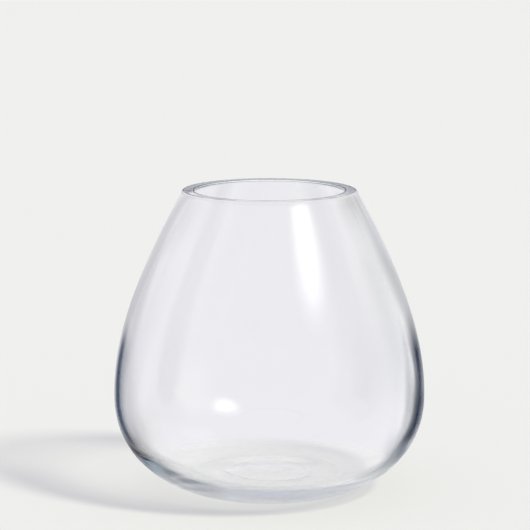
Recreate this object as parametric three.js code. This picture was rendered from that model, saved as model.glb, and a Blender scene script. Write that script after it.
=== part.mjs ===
// A teardrop vase of clear glass, blown as one piece: a wide low belly, shoulders that draw in to a
// plain round mouth, a heavy base with a ground foot ring, and a polished hollow under the middle.
// Sizes are in millimetres and angles in degrees. The vase stands on z = 0, with its axis along +Z.
import * as THREE from 'three';

// Outside
const HEIGHT = 164.5;
const BELLY_RADIUS = 85;
const BELLY_HEIGHT = 51.5;
const MOUTH_RADIUS = 47.25;
const MOUTH_LEAN = 29;
const FOOT_RADIUS = 41;
const FOOT_LIFT = 10;

// How far each end of the outside curves holds its direction before it bends
const MOUTH_REACH = 70;
const SHOULDER_REACH = 20;
const BELLY_REACH = 36.5;
const FOOT_REACH = 12;

// Glass thickness, measured square to the outside
const RIM_WALL = 5.8;
const BELLY_WALL = 4.2;
const HEEL_WALL = 7.1;
const CENTRE_WALL = 8.3;

// Base
const FOOT_RING_WIDTH = 19;
const HOLLOW_DEPTH = 1.2;
const HEEL_RISE = 7;
const FLOOR_EDGE_REACH = 12;
const FLOOR_DOME_REACH = 16;

// Rounding of the mouth's edges
const OUTER_EDGE_RADIUS = 1.2;
const INNER_EDGE_RADIUS = 0.5;

// Fineness of the facets
const TURN_STEPS = 72;
const BODY_STEPS = 13;
const SHOULDER_STEPS = 10;
const FLOOR_STEPS = 6;
const HOLLOW_STEPS = 4;
const RIM_EDGE_STEPS = 3;

const point = (radius, height) => new THREE.Vector2(radius, height);
const direction = (angle) => point(Math.cos(angle), Math.sin(angle));
const moved = (start, along, distance) => start.clone().addScaledVector(along, distance);

const lean = THREE.MathUtils.degToRad(MOUTH_LEAN);
const lift = THREE.MathUtils.degToRad(FOOT_LIFT);
const up = point(0, 1);
const inward = point(-1, 0);

// The outside: one curve swells from the foot to the belly, and one draws in from there to the mouth.
const foot = point(FOOT_RADIUS, 0);
const belly = point(BELLY_RADIUS, BELLY_HEIGHT);
const mouth = point(MOUTH_RADIUS, HEIGHT);
const upAtMouth = direction(Math.PI / 2 + lean);
const body = new THREE.CubicBezierCurve(
  foot,
  moved(foot, direction(lift), FOOT_REACH),
  moved(belly, up, -BELLY_REACH),
  belly,
);
const shoulder = new THREE.CubicBezierCurve(
  belly,
  moved(belly, up, SHOULDER_REACH),
  moved(mouth, upAtMouth, -MOUTH_REACH),
  mouth,
);

// Blown glass is thinnest where it swelled the most, and stays thin almost down to the foot. There it
// thickens into the heel: at HEEL_RISE above the foot, about a third of the extra thickness is left.
function wallAt(height) {
  if (height < BELLY_HEIGHT) {
    return THREE.MathUtils.lerp(BELLY_WALL, HEEL_WALL, Math.exp(-height / HEEL_RISE));
  }
  const thickened = THREE.MathUtils.smoothstep(height, BELLY_HEIGHT, HEIGHT);
  return THREE.MathUtils.lerp(BELLY_WALL, RIM_WALL, thickened);
}

// Pairs of points along a curve of the outside: the surface, and the inside straight through the glass.
function wallAlong(curve, steps) {
  const pairs = [];
  for (let step = 0; step <= steps; step += 1) {
    const outside = curve.getPointAt(step / steps);
    const along = curve.getTangentAt(step / steps);
    const throughGlass = point(-along.y, along.x);
    pairs.push({ outside, inside: moved(outside, throughGlass, wallAt(outside.y)) });
  }
  return pairs;
}

// The mouth is cut and ground flat. Its edges are softened by an arc from one flank to the other, more
// on the outside, where a hand takes hold of the vase, than on the inside.
function softEdge(corner, edgeRadius, flankAngle, nextFlankAngle) {
  const flank = direction(flankAngle);
  const nextFlank = direction(nextFlankAngle);
  const radius = Math.min(edgeRadius, RIM_WALL / 4);
  const centre = moved(corner, flank.clone().add(nextFlank), -radius / (1 + flank.dot(nextFlank)));
  const arc = new THREE.ArcCurve(centre.x, centre.y, radius, flankAngle, nextFlankAngle, false);
  return arc.getPoints(RIM_EDGE_STEPS);
}

const bodyWall = wallAlong(body, BODY_STEPS);
const shoulderWall = wallAlong(shoulder, SHOULDER_STEPS);
const heel = bodyWall[0].inside;
const lastInside = shoulderWall[SHOULDER_STEPS].inside;
const insideLip = moved(lastInside, upAtMouth, (HEIGHT - lastInside.y) / Math.cos(lean));
const rim = [
  ...softEdge(mouth, OUTER_EDGE_RADIUS, lean, Math.PI / 2),
  ...softEdge(insideLip, INNER_EDGE_RADIUS, Math.PI / 2, Math.PI + lean),
];

// The floor inside leaves the heel on the wall's own slope and rises to a low dome over the hollow.
const floorTop = point(0, HOLLOW_DEPTH + CENTRE_WALL);
const heelSlope = bodyWall[0].inside.clone().sub(bodyWall[1].inside).normalize();
const floor = new THREE.CubicBezierCurve(
  heel,
  moved(heel, heelSlope, FLOOR_EDGE_REACH),
  moved(floorTop, inward, -FLOOR_DOME_REACH),
  floorTop,
);

// Underneath, a ball-shaped wheel has polished away the scar of the blowing iron, inside a flat ring.
const hollowEdge = point(FOOT_RADIUS - FOOT_RING_WIDTH, 0);
const wheelRadius = (hollowEdge.x ** 2 + HOLLOW_DEPTH ** 2) / (2 * HOLLOW_DEPTH);
const hollowHalfAngle = Math.asin(hollowEdge.x / wheelRadius);
const hollow = new THREE.ArcCurve(
  0,
  HOLLOW_DEPTH - wheelRadius,
  wheelRadius,
  Math.PI / 2,
  Math.PI / 2 - hollowHalfAngle,
  true,
);

// The section of the glass, from the axis underneath, up the outside, over the rim and down the inside.
const bodyOutside = bodyWall.map((pair) => pair.outside);
const shoulderOutside = shoulderWall.slice(1, -1).map((pair) => pair.outside);
const shoulderInside = shoulderWall.slice(1).map((pair) => pair.inside);
const bodyInside = bodyWall.slice(1).map((pair) => pair.inside);
const section = [
  ...hollow.getPoints(HOLLOW_STEPS),
  ...bodyOutside,
  ...shoulderOutside,
  ...rim,
  ...shoulderInside.reverse(),
  ...bodyInside.reverse(),
  ...floor.getPoints(FLOOR_STEPS),
];

const glass = new THREE.MeshStandardMaterial({
  name: 'clear_glass',
  color: 0xeef2f4,
  roughness: 0.03,
  metalness: 0,
  transparent: true,
  opacity: 0.35,
});

const vessel = new THREE.Mesh(new THREE.LatheGeometry(section, TURN_STEPS), glass);
vessel.name = 'vessel';
vessel.rotation.x = Math.PI / 2;

const vase = new THREE.Group();
vase.add(vessel);

export default vase;
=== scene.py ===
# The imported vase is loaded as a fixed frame: metres, +Z up, the foot ring standing on z = 0.
import math

import bpy
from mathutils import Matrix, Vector


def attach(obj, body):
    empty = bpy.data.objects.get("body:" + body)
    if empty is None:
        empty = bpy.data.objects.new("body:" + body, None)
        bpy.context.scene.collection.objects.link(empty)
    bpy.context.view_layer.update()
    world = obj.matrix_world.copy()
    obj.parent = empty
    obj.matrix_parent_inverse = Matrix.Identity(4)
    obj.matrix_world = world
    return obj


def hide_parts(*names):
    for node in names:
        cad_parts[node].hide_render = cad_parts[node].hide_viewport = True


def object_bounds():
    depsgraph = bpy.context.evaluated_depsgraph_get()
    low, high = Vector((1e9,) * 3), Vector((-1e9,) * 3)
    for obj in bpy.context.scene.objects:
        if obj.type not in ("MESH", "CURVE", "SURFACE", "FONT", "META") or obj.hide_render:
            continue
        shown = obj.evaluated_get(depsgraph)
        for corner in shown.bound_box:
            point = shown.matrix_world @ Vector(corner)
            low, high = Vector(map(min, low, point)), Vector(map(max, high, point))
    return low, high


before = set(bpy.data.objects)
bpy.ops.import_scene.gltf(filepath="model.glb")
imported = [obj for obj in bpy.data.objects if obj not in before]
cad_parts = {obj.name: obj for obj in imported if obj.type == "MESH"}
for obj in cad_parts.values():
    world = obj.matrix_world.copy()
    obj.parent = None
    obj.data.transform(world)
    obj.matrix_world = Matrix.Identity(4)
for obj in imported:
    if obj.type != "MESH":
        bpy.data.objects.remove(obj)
cad_low, cad_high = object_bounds()

# The vessel is the whole vase: clear glass, blown as one piece and left with its own fire-bright
# skin. Its section is drawn in the XZ plane as a ring of curves, from the axis underneath to the axis
# inside, and turned round the axis. The mouth is cut flat, and the foot is ground flat.
MM = 0.001
height = cad_high.z
belly_radius = cad_high.x
belly_height = 51.5 * MM
mouth_radius = 47.25 * MM
mouth_lean = math.radians(29)
mouth_width = 6.65 * MM
foot_radius = 41 * MM
foot_lift = math.radians(10)
foot_ring_width = 19 * MM
belly_wall = 4.2 * MM
heel = Vector((39.8, 0, 7.0)) * MM
heel_lift = math.radians(5)
hollow_depth = 1.2 * MM
floor_height = 9.5 * MM

# How far a curve holds its direction at each end before it bends, outside and inside.
hollow_reach = 7.5 * MM
foot_reach = 12 * MM
belly_reach_down = 36.5 * MM
belly_reach_up = 20 * MM
mouth_reach = 70 * MM
inner_mouth_reach = 72 * MM
inner_belly_reach_up = 23.5 * MM
inner_belly_reach_down = 30 * MM
heel_reach_up = 18 * MM
heel_reach_in = 12 * MM
floor_reach = 16 * MM

# Fineness of the curves and of the turning, and how close points are made one.
flat_steps = 6
base_steps = 24
wall_steps = 44
turn_steps = 240
weld = 0.01 * MM

UP = Vector((0, 0, 1))
OUT = Vector((1, 0, 0))


def leaning(angle):
    """The direction of a wall that leans in from upright by this angle."""
    return Vector((-math.sin(angle), 0, math.cos(angle)))


def draw_stretch(start, leave, arrive, end, steps):
    """A stretch of the section as a curve with a handle at each end, made a line of edges."""
    bpy.ops.object.select_all(action="DESELECT")
    bpy.ops.curve.primitive_bezier_curve_add()
    stretch = bpy.context.object
    stretch.data.dimensions = "3D"
    spline = stretch.data.splines[0]
    spline.resolution_u = steps
    for knot, place, left, right in zip(
        spline.bezier_points, (start, end), (start, arrive), (leave, end), strict=True
    ):
        knot.handle_left_type = knot.handle_right_type = "FREE"
        knot.co = place
        knot.handle_left = left
        knot.handle_right = right
    bpy.ops.object.convert(target="MESH")
    return stretch


foot = OUT * foot_radius
hollow_edge = OUT * (foot_radius - foot_ring_width)
hollow_top = UP * hollow_depth
hollow_slope = 2 * math.atan2(hollow_depth, hollow_edge.x)
hollow_along = leaning(math.pi / 2 - hollow_slope)
foot_along = leaning(foot_lift - math.pi / 2)
belly = OUT * belly_radius + UP * belly_height
mouth = OUT * mouth_radius + UP * height
mouth_along = leaning(mouth_lean)
lip = mouth - OUT * mouth_width
belly_inside = belly - OUT * belly_wall
heel_along = leaning(heel_lift - math.pi / 2)
floor_top = UP * floor_height
stretches = [
    draw_stretch(
        hollow_top,
        hollow_top + OUT * hollow_reach,
        hollow_edge + hollow_along * hollow_reach,
        hollow_edge,
        base_steps,
    ),
    draw_stretch(hollow_edge, hollow_edge, foot, foot, flat_steps),
    draw_stretch(
        foot,
        foot + foot_along * foot_reach,
        belly - UP * belly_reach_down,
        belly,
        wall_steps,
    ),
    draw_stretch(
        belly,
        belly + UP * belly_reach_up,
        mouth - mouth_along * mouth_reach,
        mouth,
        wall_steps,
    ),
    draw_stretch(mouth, mouth, lip, lip, flat_steps),
    draw_stretch(
        lip,
        lip - mouth_along * inner_mouth_reach,
        belly_inside + UP * inner_belly_reach_up,
        belly_inside,
        wall_steps,
    ),
    draw_stretch(
        belly_inside,
        belly_inside - UP * inner_belly_reach_down,
        heel + heel_along * heel_reach_up,
        heel,
        wall_steps,
    ),
    draw_stretch(
        heel,
        heel - heel_along * heel_reach_in,
        floor_top + OUT * floor_reach,
        floor_top,
        base_steps,
    ),
]
bpy.ops.object.select_all(action="DESELECT")
for stretch in stretches:
    stretch.select_set(True)
vessel = stretches[0]
bpy.context.view_layer.objects.active = vessel
bpy.ops.object.join()
vessel.name = vessel.data.name = "blown_vessel"

bpy.ops.object.mode_set(mode="EDIT")
bpy.ops.mesh.select_all(action="SELECT")
bpy.ops.mesh.remove_doubles(threshold=weld)
bpy.ops.mesh.spin(steps=turn_steps, angle=math.tau, center=(0, 0, 0), axis=(0, 0, 1))
bpy.ops.mesh.select_all(action="SELECT")
bpy.ops.mesh.remove_doubles(threshold=weld)
bpy.ops.mesh.normals_make_consistent(inside=False)
bpy.ops.object.mode_set(mode="OBJECT")
bpy.ops.object.shade_smooth()


def soften_ring(radius, corner, edge_radius, segments):
    """Rounds the edge of the mouth that lies at this radius, where two faces meet at this corner."""
    near = 0.05 * MM
    bpy.ops.object.mode_set(mode="EDIT")
    bpy.ops.mesh.select_mode(type="EDGE")
    bpy.ops.mesh.select_all(action="DESELECT")
    bpy.ops.object.mode_set(mode="OBJECT")
    mesh = vessel.data
    on_ring = [
        abs(math.hypot(v.co.x, v.co.y) - radius) < near and abs(v.co.z - height) < near
        for v in mesh.vertices
    ]
    for edge in mesh.edges:
        edge.select = all(on_ring[index] for index in edge.vertices)
    bpy.ops.object.mode_set(mode="EDIT")
    offset = edge_radius / math.tan(corner / 2)
    bpy.ops.mesh.bevel(offset=offset, segments=segments, clamp_overlap=False)
    bpy.ops.object.mode_set(mode="OBJECT")


# The wheel that cut the mouth left two sharp edges, which are softened, the outer one more.
soften_ring(mouth_radius, math.pi / 2 + mouth_lean, 1.2 * MM, 8)
soften_ring(lip.x, math.pi / 2 - mouth_lean, 0.5 * MM, 6)

# The gather that it was blown from leaned a little, so the wall is thicker on one side than on the
# other. The inside is moved sideways, and the base and the mouth stay as they are.
wall_shift = 1.2 * MM
shift_from = 12 * MM
shift_rise = 18 * MM
shift_fall = 40 * MM
rim_band = 1 * MM
inside = vessel.vertex_groups.new(name="inside")
for vertex in vessel.data.vertices:
    spot = vertex.co
    outward = vertex.normal.x * spot.x + vertex.normal.y * spot.y
    if outward < 0 and shift_from < spot.z < height - rim_band:
        rise = min(1, (spot.z - shift_from) / shift_rise)
        fall = min(1, (height - spot.z) / shift_fall)
        rise, fall = (v * v * (3 - 2 * v) for v in (rise, fall))
        inside.add([vertex.index], rise * fall, "REPLACE")
bpy.ops.object.select_all(action="DESELECT")
vessel.select_set(True)
bpy.context.view_layer.objects.active = vessel
bpy.ops.object.modifier_add(type="DISPLACE")
shift = vessel.modifiers[-1]
shift.direction = "X"
shift.vertex_group = inside.name
shift.mid_level = 0
shift.strength = -wall_shift
bpy.ops.object.modifier_apply(modifier=shift.name)


def new_tree(owner, output_type):
    """An owner's node tree, emptied, and its new output node."""
    owner.use_nodes = True
    owner.node_tree.nodes.clear()
    return owner.node_tree, owner.node_tree.nodes.new(output_type)


def feed(socket, value):
    """Links a socket to another one, or sets it to a plain value."""
    if isinstance(value, bpy.types.NodeSocket):
        tree.links.new(value, socket)
    else:
        socket.default_value = value


def calculate(operation, *values):
    """A maths node in the tree that is being built."""
    node = tree.nodes.new("ShaderNodeMath")
    node.operation = operation
    for socket, value in zip(node.inputs, values):
        feed(socket, value)
    return node.outputs["Value"]


def soft_step(value, start, end, low=0, high=1, interpolation="SMOOTHSTEP"):
    """Goes from low to high while the value goes from start to end."""
    node = tree.nodes.new("ShaderNodeMapRange")
    node.interpolation_type = interpolation
    node.inputs["From Min"].default_value = start
    node.inputs["From Max"].default_value = end
    node.inputs["To Min"].default_value = low
    node.inputs["To Max"].default_value = high
    tree.links.new(value, node.inputs["Value"])
    return node.outputs["Result"]


def blend(factor, under, over):
    """One colour laid over another by a factor."""
    node = tree.nodes.new("ShaderNodeMix")
    node.data_type = "RGBA"
    tree.links.new(factor, node.inputs["Factor"])
    feed(node.inputs["A"], under)
    feed(node.inputs["B"], over)
    return node.outputs["Result"]


def parts_of(vector):
    """A vector's parts along X, Y and Z."""
    node = tree.nodes.new("ShaderNodeSeparateXYZ")
    tree.links.new(vector, node.inputs["Vector"])
    return node.outputs


# The glass is clear soda-lime with a faint grey-blue body. Its blown skin has slow waves two to four
# centimetres long, stronger in the thick base, and a slight haze that comes and goes. The cut mouth and
# the underside are ground, so they are matt.
body_tint = (0.6, 0.68, 0.74, 1)
body_density = 4
wave_scale = 38
wave_height = 0.03 * MM
base_waves = 5
base_waves_from = 25 * MM
base_waves_to = 6 * MM
most_haze = 0.012
matt_mouth = 0.22
matt_underside = 0.14
clear_glass = bpy.data.materials.new("clear_glass")
tree, output = new_tree(clear_glass, "ShaderNodeOutputMaterial")
place = tree.nodes.new("ShaderNodeTexCoord").outputs["Object"]
level = parts_of(place)["Z"]
glass = tree.nodes.new("ShaderNodeBsdfPrincipled")
glass.inputs["Base Color"].default_value = (1, 1, 1, 1)
glass.inputs["Transmission Weight"].default_value = 1
glass.inputs["IOR"].default_value = 1.5

waves = tree.nodes.new("ShaderNodeTexNoise")
waves.inputs["Scale"].default_value = wave_scale
waves.inputs["Detail"].default_value = 1
tree.links.new(place, waves.inputs["Vector"])
swell = tree.nodes.new("ShaderNodeBump")
swell.inputs["Strength"].default_value = 1
swell.inputs["Distance"].default_value = wave_height
livelier = soft_step(level, base_waves_from, base_waves_to, 1, base_waves)
tree.links.new(calculate("MULTIPLY", waves.outputs["Fac"], livelier), swell.inputs["Height"])
tree.links.new(swell.outputs["Normal"], glass.inputs["Normal"])

haze = soft_step(waves.outputs["Fac"], 0.35, 0.7, 0, most_haze, "LINEAR")
ground_mouth = soft_step(level, height - 1.5 * MM, height - 1.1 * MM, 0, matt_mouth)
ground_underside = soft_step(level, 1.9 * MM, 0.9 * MM, 0, matt_underside)
ground = calculate("MAXIMUM", ground_mouth, ground_underside)
tree.links.new(calculate("ADD", haze, ground), glass.inputs["Roughness"])

# A lamp's light goes straight through, weaker where it meets the skin at a glance. Each stop is a share
# of the way from square on (0) to a glance (1), and how much light is left over there. On the level
# glass of the base, the loss is the same all over.
dimming = ((0, 0.998), (0.15, 0.99), (0.3, 0.945), (0.45, 0.895), (0.7, 0.87), (1, 0.84))
base_loss = (0.98, 0.98, 0.98, 1)
glance = tree.nodes.new("ShaderNodeLayerWeight")
glance.inputs["Blend"].default_value = 0.5
dimmed = tree.nodes.new("ShaderNodeValToRGB")
stops = dimmed.color_ramp.elements
while len(stops) < len(dimming):
    stops.new(0.5)
for stop, (facing, left_over) in zip(stops, dimming, strict=True):
    stop.position = facing
    stop.color = (left_over, left_over, left_over, 1)
tree.links.new(glance.outputs["Facing"], dimmed.inputs["Fac"])
skin = tree.nodes.new("ShaderNodeNewGeometry")
steepness = calculate("ABSOLUTE", parts_of(skin.outputs["Normal"])["Z"])
passed = blend(soft_step(steepness, 0.8, 0.9), dimmed.outputs["Color"], base_loss)
lit = tree.nodes.new("ShaderNodeBsdfTransparent")
tree.links.new(passed, lit.inputs["Color"])
path = tree.nodes.new("ShaderNodeLightPath")
lamp_light = calculate("MAXIMUM", path.outputs["Is Shadow Ray"], path.outputs["Is Diffuse Ray"])
surface = tree.nodes.new("ShaderNodeMixShader")
tree.links.new(lamp_light, surface.inputs["Fac"])
tree.links.new(glass.outputs["BSDF"], surface.inputs[1])
tree.links.new(lit.outputs["BSDF"], surface.inputs[2])
tree.links.new(surface.outputs["Shader"], output.inputs["Surface"])

body = tree.nodes.new("ShaderNodeVolumeAbsorption")
body.inputs["Color"].default_value = body_tint
body.inputs["Density"].default_value = body_density
tree.links.new(body.outputs["Volume"], output.inputs["Volume"])

vessel.data.materials.clear()
vessel.data.materials.append(clear_glass)
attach(vessel, "root")
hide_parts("vessel")

# The studio floor is one pale sheet that runs on past the picture, so the background has no edge.
# Seen in or through the glass, it ends close to the vase, and the tent takes over.
floor_colour = (0.8, 0.8, 0.785, 1)
floor_radius = 12
floor_drop = 0.15 * MM
floor_fades_from = 45 * MM
floor_fades_to = 100 * MM
bpy.ops.object.select_all(action="DESELECT")
bpy.ops.mesh.primitive_circle_add(
    vertices=96, radius=floor_radius, fill_type="NGON", location=-UP * floor_drop
)
floor = bpy.context.object
floor.name = "studio_floor"
paper = bpy.data.materials.new("pale_paper")
tree, output = new_tree(paper, "ShaderNodeOutputMaterial")
sheet = tree.nodes.new("ShaderNodeBsdfDiffuse")
sheet.inputs["Color"].default_value = floor_colour
gone = tree.nodes.new("ShaderNodeBsdfTransparent")
distance = tree.nodes.new("ShaderNodeVectorMath")
distance.operation = "LENGTH"
tree.links.new(tree.nodes.new("ShaderNodeTexCoord").outputs["Object"], distance.inputs[0])
faded = soft_step(distance.outputs["Value"], floor_fades_from, floor_fades_to)
path = tree.nodes.new("ShaderNodeLightPath")
by_glass = calculate("MAXIMUM", path.outputs["Is Transmission Ray"], path.outputs["Is Glossy Ray"])
surface = tree.nodes.new("ShaderNodeMixShader")
tree.links.new(calculate("MULTIPLY", by_glass, faded), surface.inputs["Fac"])
tree.links.new(sheet.outputs["BSDF"], surface.inputs[1])
tree.links.new(gone.outputs["BSDF"], surface.inputs[2])
tree.links.new(surface.outputs["Shader"], output.inputs["Surface"])
floor.data.materials.append(paper)

# The vase stands in a light tent of pale cloth. Through the glass it is seen in every direction, and the
# grey cards that hang in it give the shoulders their soft shading.
background = (0.863, 0.863, 0.847, 1)
soft_light = (0.452, 0.446, 0.55, 1)
behind_cloth = (0.854, 0.847, 0.881, 1)
front_cloth = (0.855, 0.837, 0.843, 1)
top_cloth = (0.931, 0.883, 0.952, 1)
low_cloth = (1.1, 1.1, 1.1, 1)
# Each card: bearing from, to and softness of the edge; elevation from, to and softness; colour.
# Bearings count clockwise from straight behind the vase, and everything is in degrees.
far_cards = (
    ((-44, 1.4, 12), (-0.4, 12.6, 9.8), (0.67, 0.655, 0.69, 1)),
    ((4.4, 28, 10), (-1.3, 10, 14.4), (0.336, 0.317, 0.313, 1)),
    ((25.2, 81, 26), (8, 25.7, 22), (0.379, 0.387, 0.354, 1)),
)


def between(value, low, high, softness):
    """How far a value lies between the two soft edges of a card, from 0 to 1."""
    above_low = soft_step(value, low - softness / 2, low + softness / 2)
    below_high = soft_step(value, high + softness / 2, high - softness / 2)
    return calculate("MULTIPLY", above_low, below_high)


world = bpy.data.worlds.new("studio")
bpy.context.scene.world = world
tree, output = new_tree(world, "ShaderNodeOutputWorld")
sight = parts_of(tree.nodes.new("ShaderNodeTexCoord").outputs["Generated"])
bearing = calculate("DEGREES", calculate("ARCTAN2", sight["X"], sight["Y"]))
elevation = calculate("DEGREES", calculate("ARCSINE", sight["Z"]))
tent = blend(soft_step(sight["Y"], 0.3, -0.3), behind_cloth, front_cloth)
tent = blend(soft_step(sight["Z"], 0.25, 0.6), tent, top_cloth)
tent = blend(soft_step(sight["Z"], -0.42, -0.67), tent, low_cloth)
for across, upright, colour in far_cards:
    covered = calculate("MULTIPLY", between(bearing, *across), between(elevation, *upright))
    tent = blend(covered, tent, colour)
path = tree.nodes.new("ShaderNodeLightPath")
by_glass = calculate("MAXIMUM", path.outputs["Is Glossy Ray"], path.outputs["Is Transmission Ray"])
seen = blend(path.outputs["Is Camera Ray"], blend(by_glass, soft_light, tent), background)
glow = tree.nodes.new("ShaderNodeBackground")
tree.links.new(seen, glow.inputs["Color"])
tree.links.new(glow.outputs["Background"], output.inputs["Surface"])

# Dark and grey cards are bent round the sides of the vase, a few centimetres off, with a bright one on
# the right. They draw the dark edges that clear glass needs to be seen at all, and only the glass sees
# them.
card_radius = 125 * MM
card_foot = -140 * MM
card_top = 200 * MM
# Each card: bearing from, to and softness, in degrees; height from, to and softness, in mm; colour.
near_cards = (
    ((70, 116, 30), (7, 180, 40), (1.28, 1.28, 1.28, 1)),
    ((-104, -44, 7.4), (-15, 135, 90), (0.567, 0.565, 0.601, 1)),
    ((-83.4, -59.4, 12), (-18, 84, 24), (0.045, 0.069, 0.121, 1)),
    ((39.5, 71, 24), (36, 146, 80), (0.56, 0.57, 0.59, 1)),
    ((53.5, 74.4, 8), (2, 86, 36), (0.004, 0.018, 0.055, 1)),
    ((-99, -39.3, 11), (-89, -10, 90), (0.121, 0.123, 0.131, 1)),
    ((46, 82.5, 14.6), (-120, -10, 65), (0.213, 0.251, 0.293, 1)),
    ((57, 82, 16), (-14.5, 51, 40), (0.004, 0.016, 0.045, 1)),
)
bpy.ops.object.select_all(action="DESELECT")
bpy.ops.mesh.primitive_cylinder_add(
    vertices=180,
    radius=card_radius,
    depth=card_top - card_foot,
    end_fill_type="NOTHING",
    location=UP * (card_top + card_foot) / 2,
)
bpy.ops.object.transform_apply(location=True)
side_cards = bpy.context.object
side_cards.name = "side_cards"
card_cloth = bpy.data.materials.new("side_card_cloth")
card_cloth.cycles.emission_sampling = "NONE"
tree, output = new_tree(card_cloth, "ShaderNodeOutputMaterial")


def glow_with_gaps(colour, open_part, strength=1):
    """A surface that gives light of a colour, and lets through what is behind by its open part."""
    light = tree.nodes.new("ShaderNodeEmission")
    feed(light.inputs["Color"], colour)
    feed(light.inputs["Strength"], strength)
    gap = tree.nodes.new("ShaderNodeBsdfTransparent")
    feed(gap.inputs["Color"], open_part)
    both = tree.nodes.new("ShaderNodeAddShader")
    tree.links.new(light.outputs["Emission"], both.inputs[0])
    tree.links.new(gap.outputs["BSDF"], both.inputs[1])
    tree.links.new(both.outputs["Shader"], output.inputs["Surface"])


def show_to_glass_only(piece):
    """Hides a piece of the studio from the camera, the floor and the shadows."""
    piece.visible_camera = False
    piece.visible_diffuse = False
    piece.visible_shadow = False


place = parts_of(tree.nodes.new("ShaderNodeTexCoord").outputs["Object"])
bearing = calculate("DEGREES", calculate("ARCTAN2", place["X"], place["Y"]))
tallness = calculate("DIVIDE", place["Z"], MM)
given = (0, 0, 0, 1)
open_part = (1, 1, 1, 1)
for across, upright, colour in near_cards:
    covered = calculate("MULTIPLY", between(bearing, *across), between(tallness, *upright))
    given = blend(covered, given, colour)
    open_part = blend(covered, open_part, (0, 0, 0, 1))
glow_with_gaps(given, open_part)
side_cards.data.materials.append(card_cloth)
show_to_glass_only(side_cards)


def towards(azimuth, elevation):
    """The direction to a lamp: azimuth 0 is towards the camera and 90 to its right, in degrees."""
    a, e = math.radians(azimuth), math.radians(elevation)
    return Vector((math.sin(a) * math.cos(e), -math.cos(a) * math.cos(e), math.sin(e)))


def aim(lamp, direction):
    """Turns a lamp's back to a direction, so that its light comes from there."""
    lamp.rotation_mode = "QUATERNION"
    lamp.rotation_quaternion = direction.to_track_quat("Z", "Y")


# The key lamp is a broad soft source on the right, a little to the front. It throws the long pale
# shadow to the left.
key_direction = towards(60, 47)
bpy.ops.object.light_add(type="SUN", location=key_direction * 3)
key = bpy.context.object
key.name = "key"
aim(key, key_direction)
key.data.energy = 2.76
key.data.color = (0.99, 1, 0.835)
key.data.angle = math.radians(9)
key.visible_glossy = False
key.visible_transmission = False

# A soft box stands beside it: the tall gleam on the shoulder and the small one low on the belly are its
# mirror image. Its cloth is brightest in the middle and fades to the sides.
box_direction = towards(46.5, 40.5)
box_distance = 1.6
box_lift = 0.1
box_radius = 0.55
lit_half_width = 0.45
lit_half_height = 0.48
box_strength = 4.6
bpy.ops.object.select_all(action="DESELECT")
bpy.ops.mesh.primitive_circle_add(vertices=64, radius=box_radius, fill_type="NGON")
soft_box = bpy.context.object
soft_box.name = "soft_box"
aim(soft_box, box_direction)
soft_box.location = box_direction * box_distance + UP * box_lift
cloth = bpy.data.materials.new("soft_box_cloth")
tree, output = new_tree(cloth, "ShaderNodeOutputMaterial")
shape = tree.nodes.new("ShaderNodeMapping")
shape.inputs["Scale"].default_value = (1 / lit_half_width, 1 / lit_half_height, 0)
tree.links.new(tree.nodes.new("ShaderNodeTexCoord").outputs["Object"], shape.inputs["Vector"])
from_middle = tree.nodes.new("ShaderNodeVectorMath")
from_middle.operation = "LENGTH"
tree.links.new(shape.outputs["Vector"], from_middle.inputs[0])
strength = soft_step(from_middle.outputs["Value"], 1, 0, 0, box_strength)
glow_with_gaps((1, 1, 1, 1), (1, 1, 1, 1), strength)
soft_box.data.materials.append(cloth)
show_to_glass_only(soft_box)

# The camera stands 1.4 m back and a little above the mouth, and looks slightly over the vase.
camera_place = (-0.0024, -1.4, 0.359)
camera_tilt = 0.1669
bpy.ops.object.camera_add(location=camera_place, rotation=(math.pi / 2 - camera_tilt, 0, 0))
camera = bpy.context.object
camera.data.lens = 177.1
camera.data.clip_start = 0.05
camera.data.clip_end = 50
bpy.context.scene.camera = camera
bpy.context.scene.view_settings.view_transform = "Standard"

# Light goes round inside the thick glass of the base many times before it comes out.
most_bounces = 160
cycles = bpy.context.scene.cycles
cycles.max_bounces = most_bounces
cycles.transmission_bounces = most_bounces
cycles.glossy_bounces = most_bounces
cycles.transparent_max_bounces = 24
